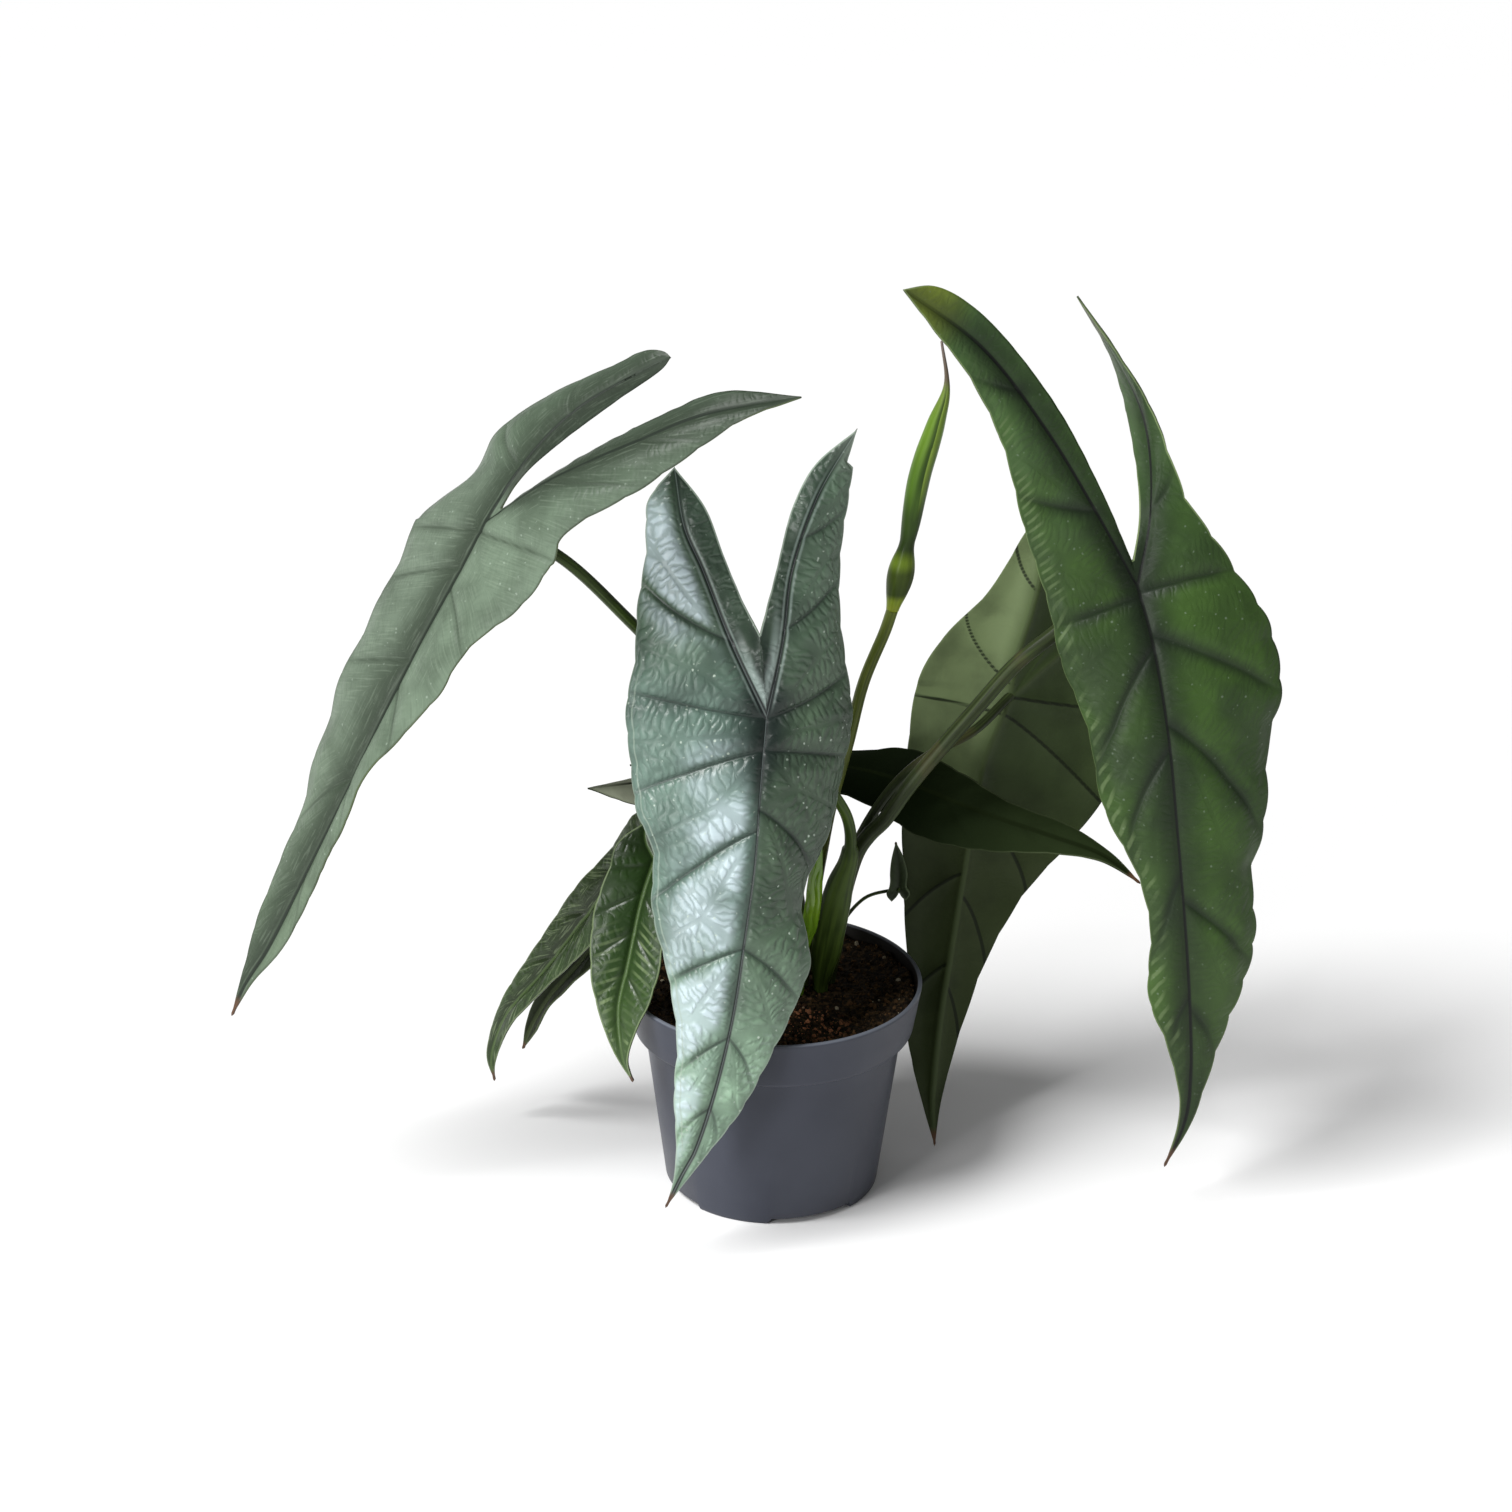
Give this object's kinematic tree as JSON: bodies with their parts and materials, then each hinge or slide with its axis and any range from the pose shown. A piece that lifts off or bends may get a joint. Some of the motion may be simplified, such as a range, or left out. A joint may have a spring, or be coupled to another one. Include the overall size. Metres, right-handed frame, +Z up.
{
  "type": "potted alocasia",
  "caption": "Aroid houseplant with hanging arrow-shaped, quilted leaves on slim curved stems, in a tapered grey plastic nursery pot filled with peat.",
  "frame": {"origin": "centre of the underside of the pot's foot, on the surface it stands on", "axes": "+Z up; +X to the right in the picture, along the plant's widest spread; -Y towards the viewer"},
  "size_m": [0.4126, 0.149, 0.3832],
  "materials": {
    "pot_plastic": "moulded, satin",
    "peat": "loose, moist",
    "bract_green": "thin, waxy",
    "leaf_silver": "waxy, silvered",
    "leaf_grey_green": "waxy",
    "leaf_green": "waxy",
    "leaf_olive": "dull underside",
    "leaf_dark_green": "satin",
    "leaf_glossy": "glossy",
    "leaf_new": "satin",
    "stem": "smooth, satin"
  },
  "bodies": {
    "root": {"pot": "pot_plastic", "soil": "peat", "crown_bract": "bract_green", "leaf_front": "leaf_silver", "leaf_left": "leaf_grey_green", "leaf_right": "leaf_green", "leaf_back": "leaf_olive", "leaf_flat": "leaf_dark_green", "leaf_low_left": "leaf_glossy", "leaf_small": "leaf_glossy", "leaf_dark": "leaf_dark_green", "leaf_tiny": "leaf_green", "leaf_rolled": "leaf_new", "stem_front": "stem", "stem_left": "stem", "stem_right": "stem", "stem_back": "stem", "stem_flat": "stem", "stem_low_left": "stem", "stem_small": "stem", "stem_dark": "stem", "stem_tiny": "stem", "stem_rolled": "stem"}
  },
  "joints": []
}
